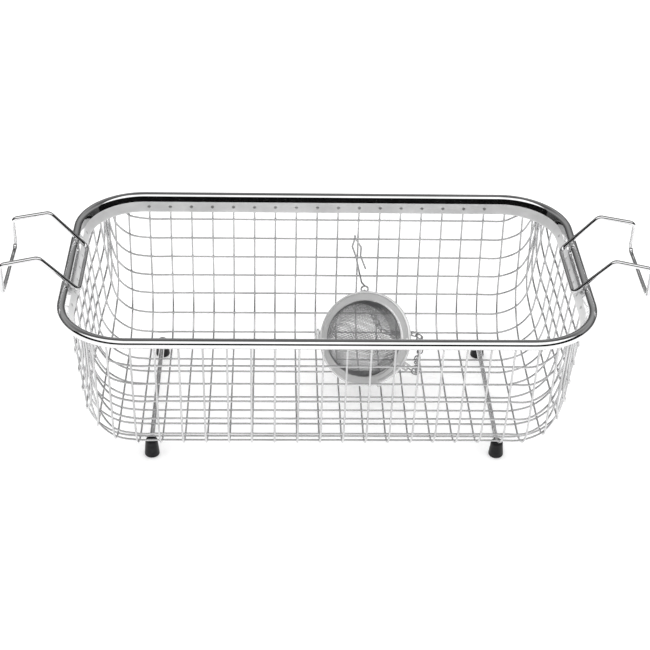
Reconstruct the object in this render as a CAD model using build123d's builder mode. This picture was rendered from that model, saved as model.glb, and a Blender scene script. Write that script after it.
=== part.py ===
from build123d import *
import math
import os

import numpy as np

os.makedirs("parts", exist_ok=True)

# ---------------------------------------------------------------------------
# Driving sizes, in millimetres.  X runs along the basket's length, -Y is the
# front and +Z is up.  The origin is under the middle of the basket, in the
# plane of the four foot bottoms.
# ---------------------------------------------------------------------------

# Basket
rim_length = 249.3          # bead centre to bead centre, along X
rim_width = 133.3           # bead centre to bead centre, along Y
rim_corner_radius = 32.0    # bead centre line, seen from above
rim_height = 83.95          # bead centre above the foot bottoms
floor_height = 9.4          # mesh floor above the foot bottoms
mesh_pitch = 11.0
mesh_wire = 1.0             # wire diameter
weld_depth = 0.04           # how far crossing wires sink into each other
wall_draft = 5.1            # degrees from vertical
bottom_radius = 24.0        # bend between floor and wall
bead_radius = 2.45
mesh_inset = bead_radius + 0.55   # mesh to bead centre line, at the top of the wall
mesh_top_drop = 1.0         # level of that inset, below the bead centre
mesh_tuck_rise = 0.2        # wire ends above the bead centre, inside the curl
mesh_kink_drop = 0.8        # bend in a wire below the band's lower edge
mesh_kink_run = 1.5         # last crossing at least this far below the bend
curl_fit = 0.05             # clearance of the wire ends inside the curl
first_cross_wire = -2.9     # X of the cross wire nearest the middle
first_long_wire = 2.5       # Y of the long wire nearest the middle

# Rim
rim_sheet = 0.6
band_slant = 25.0           # degrees from vertical
band_drop = 6.0             # lower edge of the band below the bead centre
curl_end = -115.0           # degrees round the bead where the curl stops

# Handles
handle_wire = 2.3
handle_leg_angle = 47.0     # rise of the legs over the bead, in degrees
handle_base_drop = 1.8      # base rod below the bead centre
handle_peak_rise = 17.0     # first bend above the bead centre
handle_reach = 29.4         # grip bar outside the bead centre
handle_shoulder_rise = 13.2
handle_grip_drop = 2.6
handle_base_half = 19.8     # half the spacing of the legs at the base rod
handle_grip_half = 21.4     # and at the grip bar
handle_centre_y = -1.3
handle_bend = 3.0
handle_slope = 8.0          # height above the first bend over which the legs would reach the grip's width
handle_weld = 1.45          # radius of the butt weld

# Feet and the rods that carry them
rod_diameter = 2.8
rod_inset = 39.25           # rods inside the bead centre line at the ends
foot_inset = 24.35          # feet inside the bead centre line at the front and back
rod_spacing = rim_length - 2 * rod_inset
foot_spacing = rim_width - 2 * foot_inset
rod_bend = 2.2
foot_top_radius = 2.9
foot_cover = 0.5            # rubber over the rod
foot_bottom_radius = 3.8
foot_rounding = 0.8         # round the bottom edge
foot_dome = 1.6             # round the top edge
rod_end = 2.6               # lower ends of the rods above the foot bottoms
rod_fit = 0.02              # clearance of the foot round its rod
rod_mesh_gap = 0.08         # rod below the mesh wires where they lie straight

# Strainer
strainer_x = 21.5
strainer_y = 11.6
strainer_turn = 28.0        # degrees that it faces to the left of the front
strainer_lean = 35.5        # degrees that it leans back
strainer_rest_gap = 1.0     # strainer above the mesh floor
flange_radius = 24.6
flange_sheet = 0.7
flange_gap = 0.15           # half the gap between the two flanges
flange_roll = 0.65
flange_width = 4.9          # bead edge to cloth
cloth_radius = flange_radius - flange_width
cloth_thickness = 0.4
cloth_fit = 0.05            # clearance of the cloth inside its collar
cloth_edge = 0.1            # cloth edge above the flange's flat face
collar_wall = 0.6
collar_height = 2.0
hinge_angle = 195.0
hinge_axis_radius = flange_radius + 1.5
hinge_knuckle = 1.2
hinge_pin_radius = 0.5
hinge_run_fit = 0.05
hinge_press_fit = 0.02
hinge_middle = 3.0          # length of the front ring's barrel
hinge_side = 2.2            # length of each of the back ring's barrels
hinge_end_gap = 0.15
pin_head = 0.9
hole_angle = 14.0
hole_radial = flange_radius - 1.9
hole_radius = 0.9
lug_angle = -17.0
lug_reach = flange_radius + 3.4
lug_hole_radial = flange_radius + 1.8
lug_hole_radius = 1.0
lug_width = 4.0
lug_overlap = 1.0           # length of the lug that lies on the flange
latch_pivot_angle = -22.0
latch_tip_angle = -55.0
latch_radial = flange_radius - 2.6
latch_width = 1.5
latch_sheet = 0.6
latch_lift = 1.6            # underside of the lever above the flange plane
latch_overhang = flange_radius + 1.4
latch_tip_drop = 2.6
rivet_radius = 0.6
rivet_head = 1.15
rivet_head_height = 0.5
latch_eye = 0.2             # latch's round end, wider than its arm on each side
latch_play = 0.05           # clearance over and under the lever

# Hook and chain
hook_wire = 1.0
hook_gap = 0.2              # hook to the mesh wire it hangs on
hook_x = 17.4
hook_row = 9                # long wire that carries the hook
chain_wire = 0.7
link_length = 5.0
link_width = 3.4
link_step = 3.35
chain_end_twist = 40.0      # turn of the last links towards the lug, in degrees
twisted_links = 8
chain_run_share = 0.97     # most of a run between two corners that their arcs take up

strainer_centre_z = (
    floor_height
    + mesh_wire
    + strainer_rest_gap
    + flange_radius * math.cos(math.radians(strainer_lean))
    + (flange_gap + flange_roll * 2) * math.sin(math.radians(strainer_lean))
)


# ---------------------------------------------------------------------------
# The formed mesh: a square net of equal cells laid over a tray with drafted
# walls and rounded corners.  Each crossing is one pitch from its neighbours.
# ---------------------------------------------------------------------------
mesh_half_length = rim_length / 2 - mesh_inset
mesh_half_width = rim_width / 2 - mesh_inset
mesh_corner = rim_corner_radius - mesh_inset
mesh_top = rim_height - mesh_top_drop
draft = math.radians(wall_draft)
wall_normal = np.array([math.cos(draft), math.sin(draft)])
wall_down = np.array([math.sin(draft), -math.cos(draft)])
bend_centre_z = floor_height + bottom_radius
bend_centre_in = (bottom_radius - (bend_centre_z - mesh_top) * math.sin(draft)) / math.cos(draft)


def outline(x, y):
    """Distance outside the tray's top outline, with its direction in plan."""
    over_x = abs(x) - (mesh_half_length - mesh_corner)
    over_y = abs(y) - (mesh_half_width - mesh_corner)
    if over_x > 0 and over_y > 0:
        reach = math.hypot(over_x, over_y)
        return reach - mesh_corner, np.array([math.copysign(over_x, x), math.copysign(over_y, y)]) / reach
    if over_x > over_y:
        return over_x - mesh_corner, np.array([math.copysign(1.0, x), 0.0])
    return over_y - mesh_corner, np.array([0.0, math.copysign(1.0, y)])


def tray(point):
    """Distance inside the tray's surface, with the inward normal."""
    outside, away = outline(point[0], point[1])
    inside = -outside
    from_wall = inside * wall_normal[0] + (point[2] - mesh_top) * wall_normal[1]
    from_floor = point[2] - floor_height
    arm = np.array([inside - bend_centre_in, point[2] - bend_centre_z])
    if arm @ wall_down > 0 and arm[0] < 0:
        length = np.linalg.norm(arm)
        distance = bottom_radius - length
        slope = -arm / length
    elif from_wall < from_floor:
        distance = from_wall
        slope = wall_normal
    else:
        distance = from_floor
        slope = np.array([0.0, 1.0])
    return distance, np.array([-slope[0] * away[0], -slope[0] * away[1], slope[1]])


def settle(guess, anchors, plane=None):
    """Point on the tray one pitch from each anchor, and on the plane if one is given."""
    point = np.array(guess, dtype=float)
    for _ in range(40):
        distance, normal = tray(point)
        errors = [distance]
        slopes = [normal]
        for anchor in anchors:
            arm = point - anchor
            errors.append((arm @ arm - mesh_pitch**2) / (2 * mesh_pitch))
            slopes.append(arm / mesh_pitch)
        if plane is not None:
            errors.append(point[plane[0]] - plane[1])
            slopes.append(np.eye(3)[plane[0]])
        step = np.linalg.solve(np.array(slopes), -np.array(errors))
        size = np.linalg.norm(step)
        point = point + step * min(1.0, 0.3 * mesh_pitch / max(size, 1e-12))
        if size < 1e-9:
            break
    return point


def lay_net():
    """Crossings of the net, by cross wire number and long wire number."""
    origin = np.array([first_cross_wire, first_long_wire, floor_height])
    net = {(0, 0): origin}
    ceiling = rim_height + 2 * mesh_pitch
    count_x = math.ceil((mesh_half_length + mesh_top) / mesh_pitch) + 1
    count_y = math.ceil((mesh_half_width + mesh_top) / mesh_pitch) + 1
    for sign in (1, -1):
        for axis, count, held in ((0, count_x, (1, first_long_wire)), (1, count_y, (0, first_cross_wire))):
            last = origin
            before = origin - sign * mesh_pitch * np.eye(3)[axis]
            for number in range(1, count):
                point = settle(2 * last - before, [last], held)
                before = last
                last = point
                net[(sign * number, 0) if axis == 0 else (0, sign * number)] = point
    for sign_x in (1, -1):
        for sign_y in (1, -1):
            for i in range(1, count_x):
                for j in range(1, count_y):
                    near = net.get((sign_x * (i - 1), sign_y * (j - 1)))
                    left = net.get((sign_x * i, sign_y * (j - 1)))
                    right = net.get((sign_x * (i - 1), sign_y * j))
                    if near is None or left is None or right is None:
                        continue
                    if min(near[2], left[2], right[2]) > ceiling:
                        continue
                    net[sign_x * i, sign_y * j] = settle(left + right - near, [left, right])
    return net


net = lay_net()
slant = math.radians(band_slant)
tuck_height = rim_height + mesh_tuck_rise
band_edge = rim_height - band_drop
kink_height = band_edge - mesh_kink_drop
last_crossing = kink_height - mesh_kink_run
inside_curl = bead_radius - rim_sheet - mesh_wire / 2 - curl_fit
layer = mesh_wire / 2 - weld_depth / 2


def tuck(point, level, line_offset):
    """Move a point at the given level onto the band's back, line_offset from the bead centre."""
    outside, away = outline(point[0], point[1])
    drop = rim_height - level
    inward = line_offset / math.cos(slant) + drop * math.tan(slant)
    shift = (mesh_inset - inward) - outside
    return np.array([point[0] + away[0] * shift, point[1] + away[1] * shift, level])


def at_level(low, high, level):
    share = (level - low[2]) / (high[2] - low[2])
    return low + (high - low) * share


def net_wire(numbers, side):
    """Route of one mesh wire: its crossings below the rim, then both ends tucked into the bead."""
    points = [net[n] for n in numbers if n in net]
    below = [k for k, point in enumerate(points) if point[2] < last_crossing]
    first = below[0]
    last = below[-1]
    route = []
    for k in range(first, last + 1):
        normal = tray(points[k])[1]
        route.append(points[k] + side * layer * normal)
    for index, beyond, front in ((first, first - 1, True), (last, last + 1, False)):
        kink = at_level(points[index], points[beyond], kink_height)
        kink = kink + side * layer * tray(kink)[1]
        end = tuck(at_level(points[index], points[beyond], tuck_height), tuck_height, inside_curl)
        if front:
            route = [end, kink] + route
        else:
            route = route + [kink, end]
    return route


def rounded_route(points, largest=60.0, straight=0.6, stretch=0.42, ease=0.97):
    """Corners and radii of tangent arcs that pass through the given points."""
    kept = [points[0]]
    for k in range(1, len(points) - 1):
        into = points[k] - kept[-1]
        out = points[k + 1] - points[k]
        cosine = into @ out / np.linalg.norm(into) / np.linalg.norm(out)
        turn = math.degrees(math.acos(np.clip(cosine, -1, 1)))
        if turn > straight:
            kept.append(points[k])
    kept.append(points[-1])
    corners = [kept[0]]
    radii = []
    for k in range(1, len(kept) - 1):
        back = kept[k - 1] - kept[k]
        ahead = kept[k + 1] - kept[k]
        shorter = min(np.linalg.norm(back), np.linalg.norm(ahead))
        towards = back / np.linalg.norm(back) + ahead / np.linalg.norm(ahead)
        half_turn = math.asin(min(1.0, np.linalg.norm(towards) / 2))
        radius = min(largest, stretch * shorter / math.tan(half_turn))
        rise = radius * (1 / math.cos(half_turn) - 1)
        corners.append(kept[k] - towards / np.linalg.norm(towards) * rise)
        radii.append(radius * ease)
    corners.append(kept[-1])
    return corners, radii


def bent_wire(corners, radii, diameter):
    with BuildPart() as wire:
        with BuildLine() as path:
            if radii:
                FilletPolyline(*[tuple(c) for c in corners], radius=radii)
            else:
                Line(tuple(corners[0]), tuple(corners[-1]))
        with BuildSketch(Plane(origin=path.line @ 0, z_dir=path.line % 0)):
            Circle(diameter / 2)
        sweep(path=path.line)
    return wire.part


def mesh_wires(routes):
    return [bent_wire(*rounded_route(route), mesh_wire) for route in routes]


# A wire belongs to the mesh if its middle lies below the band.
long_numbers = [j for j in range(-40, 41) if (0, j) in net and net[0, j][2] < last_crossing]
cross_numbers = [i for i in range(-40, 41) if (i, 0) in net and net[i, 0][2] < last_crossing]
long_routes = [net_wire([(i, j) for i in range(-40, 41)], 1) for j in long_numbers]
cross_routes = [net_wire([(i, j) for j in range(-40, 41)], -1) for i in cross_numbers]
mesh_wires_long = Compound(label="mesh_wires_long", children=mesh_wires(long_routes))
mesh_wires_cross = Compound(label="mesh_wires_cross", children=mesh_wires(cross_routes))
export_step(mesh_wires_long, "parts/mesh_wires_long.step")
export_step(mesh_wires_cross, "parts/mesh_wires_cross.step")


# ---------------------------------------------------------------------------
# Rim: a strip that slants down inside the mesh and rolls into a bead on top.
# ---------------------------------------------------------------------------
def on_bead(radius, degrees):
    return (radius * math.cos(math.radians(degrees)), radius * math.sin(math.radians(degrees)))


curl_start = 180 - band_slant
inner_radius = bead_radius - rim_sheet


def band_foot(radius):
    start = on_bead(radius, curl_start)
    run = (start[1] + band_drop) * math.tan(slant)
    return (start[0] - run, -band_drop)


with BuildPart() as rim:
    with BuildLine() as rim_path:
        straight_x = rim_length / 2 - rim_corner_radius
        straight_y = rim_width / 2 - rim_corner_radius
        half_y = rim_width / 2
        half_x = rim_length / 2
        middle = (0, -half_y, rim_height)
        Line(middle, (straight_x, -half_y, rim_height))
        RadiusArc((straight_x, -half_y, rim_height), (half_x, -straight_y, rim_height), -rim_corner_radius)
        Line((half_x, -straight_y, rim_height), (half_x, straight_y, rim_height))
        RadiusArc((half_x, straight_y, rim_height), (straight_x, half_y, rim_height), -rim_corner_radius)
        Line((straight_x, half_y, rim_height), (0, half_y, rim_height))
    profile_plane = Plane(origin=middle, x_dir=(0, -1, 0), z_dir=(-1, 0, 0))
    with BuildSketch(profile_plane):
        with BuildLine():
            Line(on_bead(bead_radius, curl_start), band_foot(bead_radius))
            Line(band_foot(bead_radius), band_foot(inner_radius))
            Line(band_foot(inner_radius), on_bead(inner_radius, curl_start))
            CenterArc((0, 0), inner_radius, curl_start, curl_end - curl_start)
            Line(on_bead(inner_radius, curl_end), on_bead(bead_radius, curl_end))
            CenterArc((0, 0), bead_radius, curl_end, curl_start - curl_end)
        make_face()
    sweep(path=rim_path.line)
    mirror(about=Plane.YZ)
rim.part.label = "rim"
export_step(rim.part, "parts/rim.step")


# ---------------------------------------------------------------------------
# Handles: closed wire loops welded over the bead, with a grip bar that hooks
# over the edge of a tank.
# ---------------------------------------------------------------------------
leg = math.radians(handle_leg_angle)
leg_offset = bead_radius + handle_wire / 2 - weld_depth


def on_leg(height):
    """Distance outside the bead centre of the leg's line, at a height above it."""
    along = (height - leg_offset * math.cos(leg)) / math.sin(leg)
    return -leg_offset * math.sin(leg) + along * math.cos(leg)


def handle(side, name):
    start_x = side * rim_length / 2
    base_x = start_x + side * on_leg(-handle_base_drop)
    peak_x = start_x + side * on_leg(handle_peak_rise)
    grip_x = start_x + side * handle_reach
    base_z = rim_height - handle_base_drop
    grip_z = rim_height - handle_grip_drop
    leg_rise = handle_peak_rise + handle_base_drop
    leg_share = leg_rise / (leg_rise + handle_slope)
    peak_half = handle_base_half + (handle_grip_half - handle_base_half) * leg_share
    middle = Plane.XZ.offset(-handle_centre_y)
    with BuildPart() as loop:
        with BuildLine() as path:
            FilletPolyline(
                (base_x, handle_centre_y, base_z),
                (base_x, handle_centre_y - handle_base_half, base_z),
                (peak_x, handle_centre_y - peak_half, rim_height + handle_peak_rise),
                (grip_x, handle_centre_y - handle_grip_half, rim_height + handle_shoulder_rise),
                (grip_x, handle_centre_y - handle_grip_half, grip_z),
                (grip_x, handle_centre_y, grip_z),
                radius=handle_bend,
            )
        with BuildSketch(Plane(origin=path.line @ 0, z_dir=path.line % 0)):
            Circle(handle_wire / 2)
        sweep(path=path.line)
        mirror(about=middle)
        with Locations((grip_x, handle_centre_y + handle_grip_half, grip_z + handle_bend + handle_weld)):
            Sphere(handle_weld)
    loop.part.label = name
    export_step(loop.part, f"parts/{name}.step")


handle(-1, "handle_left")
handle(1, "handle_right")


# ---------------------------------------------------------------------------
# Rods under the floor, bent down at both ends into moulded rubber feet.
# ---------------------------------------------------------------------------
def rod_level(x):
    """Up against the long wires, or lower where a cross wire lies in the way."""
    beside = min(abs(x - net[i, 0][0]) for i in cross_numbers)
    both_radii = (rod_diameter + mesh_wire) / 2
    level = floor_height - rod_diameter / 2
    if beside < both_radii:
        level = min(level, floor_height - mesh_wire / 2 - math.sqrt(both_radii**2 - beside**2))
    return level - rod_mesh_gap


def support_rod(x):
    with BuildPart() as rod:
        with BuildLine() as path:
            FilletPolyline(
                (x, -foot_spacing / 2, rod_end),
                (x, -foot_spacing / 2, rod_level(x)),
                (x, foot_spacing / 2, rod_level(x)),
                (x, foot_spacing / 2, rod_end),
                radius=rod_bend,
            )
        with BuildSketch(Plane(origin=path.line @ 0, z_dir=path.line % 0)):
            Circle(rod_diameter / 2)
        sweep(path=path.line)
    return rod.part


def foot(x, y, name):
    inward = 1 if y < 0 else -1
    cavity_radius = rod_diameter / 2 + rod_fit
    height = rod_level(x) + rod_diameter / 2 + foot_cover
    with BuildPart() as rubber:
        with BuildSketch(Plane(origin=(x, y, 0), x_dir=(1, 0, 0), z_dir=(0, -1, 0))):
            with BuildLine():
                Polyline(
                    (0, 0),
                    (foot_bottom_radius, 0),
                    (foot_top_radius, height),
                    (0, height),
                    close=True,
                )
            make_face()
        revolve(axis=Axis((x, y, 0), (0, 0, 1)))
        rings = rubber.edges().filter_by(GeomType.CIRCLE).sort_by(Axis.Z)
        fillet(rings[0], radius=foot_rounding)
        fillet(rubber.edges().filter_by(GeomType.CIRCLE).sort_by(Axis.Z)[-1], radius=foot_dome)
        with BuildLine(mode=Mode.PRIVATE) as path:
            FilletPolyline(
                (x, y, rod_end - rod_fit),
                (x, y, rod_level(x)),
                (x, y + inward * 3 * foot_top_radius, rod_level(x)),
                radius=rod_bend,
            )
        with BuildSketch(Plane(origin=path.line @ 0, z_dir=path.line % 0)) as bore:
            Circle(cavity_radius)
        sweep(sections=bore.sketch, path=path.line, mode=Mode.SUBTRACT)
    rubber.part.label = name
    export_step(rubber.part, f"parts/{name}.step")


for rod_side, rod_x in (("left", -rod_spacing / 2), ("right", rod_spacing / 2)):
    rod_part = support_rod(rod_x)
    rod_part.label = f"support_rod_{rod_side}"
    export_step(rod_part, f"parts/support_rod_{rod_side}.step")
    foot(rod_x, -foot_spacing / 2, f"foot_front_{rod_side}")
    foot(rod_x, foot_spacing / 2, f"foot_rear_{rod_side}")


# ---------------------------------------------------------------------------
# Strainer: two flanged rings with domes of fine cloth, hinged on one side.
# In its own plane, x runs level to the right, y up the lean and z to the front.
# ---------------------------------------------------------------------------
turn = math.radians(strainer_turn)
lean = math.radians(strainer_lean)
strainer_right = Vector(math.cos(turn), -math.sin(turn), 0)
strainer_front = Vector(-math.sin(turn) * math.cos(lean), -math.cos(turn) * math.cos(lean), math.sin(lean))
strainer_plane = Plane(
    origin=(strainer_x, strainer_y, strainer_centre_z), x_dir=strainer_right, z_dir=strainer_front
)
strainer_axis = Axis(strainer_plane.origin, strainer_plane.z_dir)
section_plane = Plane(
    origin=strainer_plane.origin, x_dir=strainer_plane.x_dir, z_dir=strainer_plane.y_dir.reverse()
)
flange_face = flange_gap + flange_sheet
flange_bore = cloth_radius + cloth_fit


def round_the_ring(degrees, radius, lift=0.0):
    """Plane on the ring whose x points outward, lifted along the ring's axis."""
    angle = math.radians(degrees)
    outward = strainer_plane.x_dir * math.cos(angle) + strainer_plane.y_dir * math.sin(angle)
    centre = strainer_plane.origin + outward * radius + strainer_plane.z_dir * lift
    return Plane(origin=centre, x_dir=outward, z_dir=strainer_plane.z_dir)


hinge_base = round_the_ring(hinge_angle, hinge_axis_radius)
hinge_line = Plane(origin=hinge_base.origin, x_dir=hinge_base.x_dir, z_dir=hinge_base.y_dir)


def knuckle(start, length, side, bore):
    """Hinge barrel along the hinge line, with the leaf that joins it to its flange."""
    leaf_depth = hinge_axis_radius - flange_radius + flange_roll
    leaf_middle = side * (flange_gap + flange_sheet / 2)
    middle = hinge_line.offset(start + length / 2)
    with BuildPart() as barrel:
        with BuildSketch(middle):
            Circle(hinge_knuckle)
            with Locations((-leaf_depth / 2, -leaf_middle)):
                Rectangle(leaf_depth, flange_sheet)
            Circle(bore, mode=Mode.SUBTRACT)
        extrude(amount=length / 2, both=True)
    return barrel.part


def flanged_ring(side):
    with BuildPart() as ring:
        with BuildSketch(section_plane):
            with BuildLine():
                Polyline(
                    (flange_bore, side * flange_gap),
                    (flange_radius - flange_roll, side * flange_gap),
                    (flange_radius - flange_roll, side * flange_face),
                    (flange_bore + collar_wall, side * flange_face),
                    (flange_bore + collar_wall, side * collar_height),
                    (flange_bore, side * collar_height),
                    close=True,
                )
            make_face()
            with Locations((flange_radius - flange_roll, side * (flange_gap + flange_roll))):
                Circle(flange_roll)
        revolve(axis=strainer_axis)
        with Locations(round_the_ring(hole_angle, hole_radial)):
            Cylinder(hole_radius, 6 * flange_sheet, mode=Mode.SUBTRACT)
    return ring.part


def cloth_dome(side, name):
    outer = cloth_radius
    inner = cloth_radius - cloth_thickness
    base = math.degrees(math.asin((flange_gap + cloth_edge) / inner))
    foot_share = math.cos(math.radians(base))
    rise_share = side * math.sin(math.radians(base))
    with BuildPart() as dome:
        with BuildSketch(section_plane):
            with BuildLine():
                CenterArc((0, 0), outer, side * base, side * (90 - base))
                Line((0, side * outer), (0, side * inner))
                CenterArc((0, 0), inner, side * base, side * (90 - base))
                Line((inner * foot_share, inner * rise_share), (outer * foot_share, outer * rise_share))
            make_face()
        revolve(axis=strainer_axis)
    dome.part.label = name
    export_step(dome.part, f"parts/{name}.step")


cloth_dome(-1, "strainer_cloth_back")
cloth_dome(1, "strainer_cloth_front")

middle_half = hinge_middle / 2
pressed_bore = hinge_pin_radius + hinge_press_fit
lug_root = flange_radius - lug_overlap
with BuildPart() as strainer_ring_back:
    add(flanged_ring(-1))
    add(knuckle(middle_half + hinge_end_gap, hinge_side, -1, pressed_bore))
    add(knuckle(-middle_half - hinge_end_gap - hinge_side, hinge_side, -1, pressed_bore))
    with BuildSketch(round_the_ring(lug_angle, 0, -flange_face)):
        with Locations(((lug_root + lug_reach) / 2, 0)):
            Rectangle(lug_reach - lug_root, lug_width)
    extrude(amount=flange_sheet)
    with Locations(round_the_ring(lug_angle, lug_hole_radial)):
        Cylinder(lug_hole_radius, 6 * flange_sheet, mode=Mode.SUBTRACT)
strainer_ring_back.part.label = "strainer_ring_back"
export_step(strainer_ring_back.part, "parts/strainer_ring_back.step")

with BuildPart() as strainer_ring_front:
    add(flanged_ring(1))
    add(knuckle(-middle_half, hinge_middle, 1, hinge_pin_radius + hinge_run_fit))
    with Locations(round_the_ring(latch_pivot_angle, latch_radial)):
        Cylinder(rivet_radius, 6 * flange_sheet, mode=Mode.SUBTRACT)
strainer_ring_front.part.label = "strainer_ring_front"
export_step(strainer_ring_front.part, "parts/strainer_ring_front.step")

pin_length = hinge_middle + 2 * hinge_end_gap + 2 * hinge_side + 2 * pin_head
with BuildPart() as strainer_hinge_pin:
    with Locations(hinge_line):
        Cylinder(hinge_pin_radius, pin_length)
strainer_hinge_pin.part.label = "strainer_hinge_pin"
export_step(strainer_hinge_pin.part, "parts/strainer_hinge_pin.step")

# Latch lever: lies along the front flange, turns on a rivet and drops over the rim.
pivot_plane = round_the_ring(latch_pivot_angle, latch_radial)
tip_plane = round_the_ring(latch_tip_angle, 0, latch_lift)
with BuildPart() as strainer_latch:
    with BuildSketch(strainer_plane.offset(latch_lift)):
        with BuildLine():
            sweep_angle = latch_tip_angle - latch_pivot_angle
            inner_edge = latch_radial - latch_width / 2
            outer_edge = latch_radial + latch_width / 2
            start_angle = math.radians(latch_pivot_angle)
            end_angle = math.radians(latch_tip_angle)
            CenterArc((0, 0), inner_edge, latch_pivot_angle, sweep_angle)
            CenterArc((0, 0), outer_edge, latch_pivot_angle, sweep_angle)
            Line(
                (inner_edge * math.cos(start_angle), inner_edge * math.sin(start_angle)),
                (outer_edge * math.cos(start_angle), outer_edge * math.sin(start_angle)),
            )
            Line(
                (inner_edge * math.cos(end_angle), inner_edge * math.sin(end_angle)),
                (outer_edge * math.cos(end_angle), outer_edge * math.sin(end_angle)),
            )
        make_face()
        with Locations((latch_radial * math.cos(start_angle), latch_radial * math.sin(start_angle))):
            Circle(latch_width / 2 + latch_eye)
            Circle(rivet_radius + hinge_run_fit, mode=Mode.SUBTRACT)
    extrude(amount=latch_sheet)
    with BuildSketch(tip_plane):
        with Locations(((latch_radial - latch_width / 2 + latch_overhang) / 2, 0)):
            Rectangle(latch_overhang - latch_radial + latch_width / 2, latch_width)
    extrude(amount=latch_sheet)
    with BuildSketch(tip_plane):
        with Locations((latch_overhang - latch_sheet / 2, 0)):
            Rectangle(latch_sheet, latch_width)
    extrude(amount=-latch_tip_drop)
strainer_latch.part.label = "strainer_latch"
export_step(strainer_latch.part, "parts/strainer_latch.step")

with BuildPart() as latch_rivet:
    with BuildSketch(pivot_plane.offset(flange_gap)):
        Circle(rivet_radius)
    extrude(amount=latch_lift + latch_sheet + 2 * latch_play - flange_gap)
    with BuildSketch(pivot_plane.offset(flange_face)):
        Circle(rivet_head)
    extrude(amount=latch_lift - latch_play - flange_face)
    with BuildSketch(pivot_plane.offset(latch_lift + latch_sheet + latch_play)):
        Circle(rivet_head)
    extrude(amount=rivet_head_height)
latch_rivet.part.label = "latch_rivet"
export_step(latch_rivet.part, "parts/latch_rivet.step")


# ---------------------------------------------------------------------------
# Wire hook over one wire of the back wall, and the chain to the strainer.
# ---------------------------------------------------------------------------
held_wire = net[1, hook_row] + layer * tray(net[1, hook_row])[1]
held_wire = np.array([hook_x, held_wire[1], held_wire[2]])
hook_clear = mesh_wire / 2 + hook_wire / 2 + hook_gap
arch_top = held_wire[2] + hook_clear
eye_x = hook_x + 6.0
eye_z = held_wire[2] - 28.4
eye_radius = 1.9


def behind_wall(level, gap):
    """Y at a level, gap inside (positive) or outside (negative) the back wall."""
    return mesh_half_width - (mesh_top - level) * math.tan(draft) - gap


inside_gap = mesh_wire + hook_wire / 2 + 0.35
hook_shape = [
    (hook_x + 6.6, -4.1, held_wire[2] - 20.6),
    (hook_x + 3.6, -3.7, held_wire[2] - 12.6),
    (hook_x + 3.7, -2.9, held_wire[2] - 7.0),
    (hook_x + 0.2, -1.45, held_wire[2] - 0.6),
]
tail = [(x, behind_wall(z, gap), z) for x, gap, z in hook_shape]
arch = [(hook_x, held_wire[1] + hook_clear, arch_top), (hook_x, held_wire[1] - hook_clear, arch_top)]
shank = [
    (hook_x - 1.4, behind_wall(held_wire[2] - 3.6, inside_gap + 0.2), held_wire[2] - 3.6),
    (hook_x + 0.9, behind_wall(held_wire[2] - 10.0, inside_gap), held_wire[2] - 10.0),
    (hook_x + 2.8, behind_wall(held_wire[2] - 19.0, inside_gap), held_wire[2] - 19.0),
    (eye_x - 1.8, behind_wall(eye_z + eye_radius, inside_gap + 1.0), eye_z + eye_radius + 2.0),
]
eye_y = behind_wall(eye_z, inside_gap + 1.6)
with BuildPart() as hanging_hook:
    with BuildLine() as hook_path:
        FilletPolyline(*tail, *arch, *shank, (eye_x, eye_y, eye_z + eye_radius), radius=hook_clear * 0.8)
    with BuildSketch(Plane(origin=hook_path.line @ 0, z_dir=hook_path.line % 0)):
        Circle(hook_wire / 2)
    sweep(path=hook_path.line)
    with BuildSketch(Plane(origin=(eye_x, eye_y, eye_z + eye_radius), x_dir=(0, 0, 1), z_dir=(-1, 0, 0))):
        Circle(hook_wire / 2)
    revolve(axis=Axis((eye_x, eye_y, eye_z), (0, -1, 0)), revolution_arc=360)
hanging_hook.part.label = "hanging_hook"
export_step(hanging_hook.part, "parts/hanging_hook.step")


def chain_link():
    """One link, lying along X with its flat side up."""
    end = (link_length - link_width) / 2
    half = (link_width - chain_wire) / 2
    with BuildPart() as link:
        with BuildLine() as path:
            Line((0, half), (end, half))
            CenterArc((end, 0), half, 90, -180)
            Line((end, -half), (0, -half))
        with BuildSketch(Plane(origin=path.line @ 0, z_dir=path.line % 0)):
            Circle(chain_wire / 2)
        sweep(path=path.line)
        mirror(about=Plane.YZ)
    return link.part


def fitted_radii(corners, radii):
    """The radii, cut back where two arcs would not both fit on the run between their corners."""
    points = [np.array(tuple(corner)) for corner in corners]
    runs = [after - before for before, after in zip(points, points[1:])]
    lengths = [float(np.linalg.norm(run)) for run in runs]
    shares = [0.0]
    for before, after, first, second in zip(runs, runs[1:], lengths, lengths[1:]):
        turn = math.acos(float(np.dot(before, after)) / (first * second))
        shares.append(math.tan(turn / 2))
    shares.append(0.0)
    fitted = [0.0, *radii, 0.0]
    for i, length in enumerate(lengths):
        needed = fitted[i] * shares[i] + fitted[i + 1] * shares[i + 1]
        if needed > chain_run_share * length:
            fitted[i] *= chain_run_share * length / needed
            fitted[i + 1] *= chain_run_share * length / needed
    return fitted[1:-1]


lug_plane = round_the_ring(lug_angle, lug_hole_radial + 0.5, -flange_face + flange_sheet / 2)
lug_end = lug_plane.origin
floor_chain = floor_height + mesh_wire + link_width / 2 + 0.4
chain_corners = (
    (eye_x, eye_y + 0.2, eye_z - 1.3),
    (eye_x + 2.2, eye_y - 3.6, eye_z - 9.5),
    (eye_x + 10.0, eye_y - 12.8, floor_chain + 1.8),
    (eye_x + 23.0, eye_y - 13.2, floor_chain + 1.4),
    (eye_x + 30.5, eye_y - 12.6, floor_chain + 1.4),
    (eye_x + 31.0, strainer_y + 23.0, floor_chain + 0.3),
    (eye_x + 26.5, strainer_y + 8.0, floor_chain + 0.3),
    tuple(lug_end + lug_plane.x_dir * 7.5),
    tuple(lug_end),
)
with BuildLine() as chain_path:
    FilletPolyline(*chain_corners, radius=fitted_radii(chain_corners, [3.0, 6.0, 9.0, 6.0, 6.0, 9.0, 4.5]))
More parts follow.
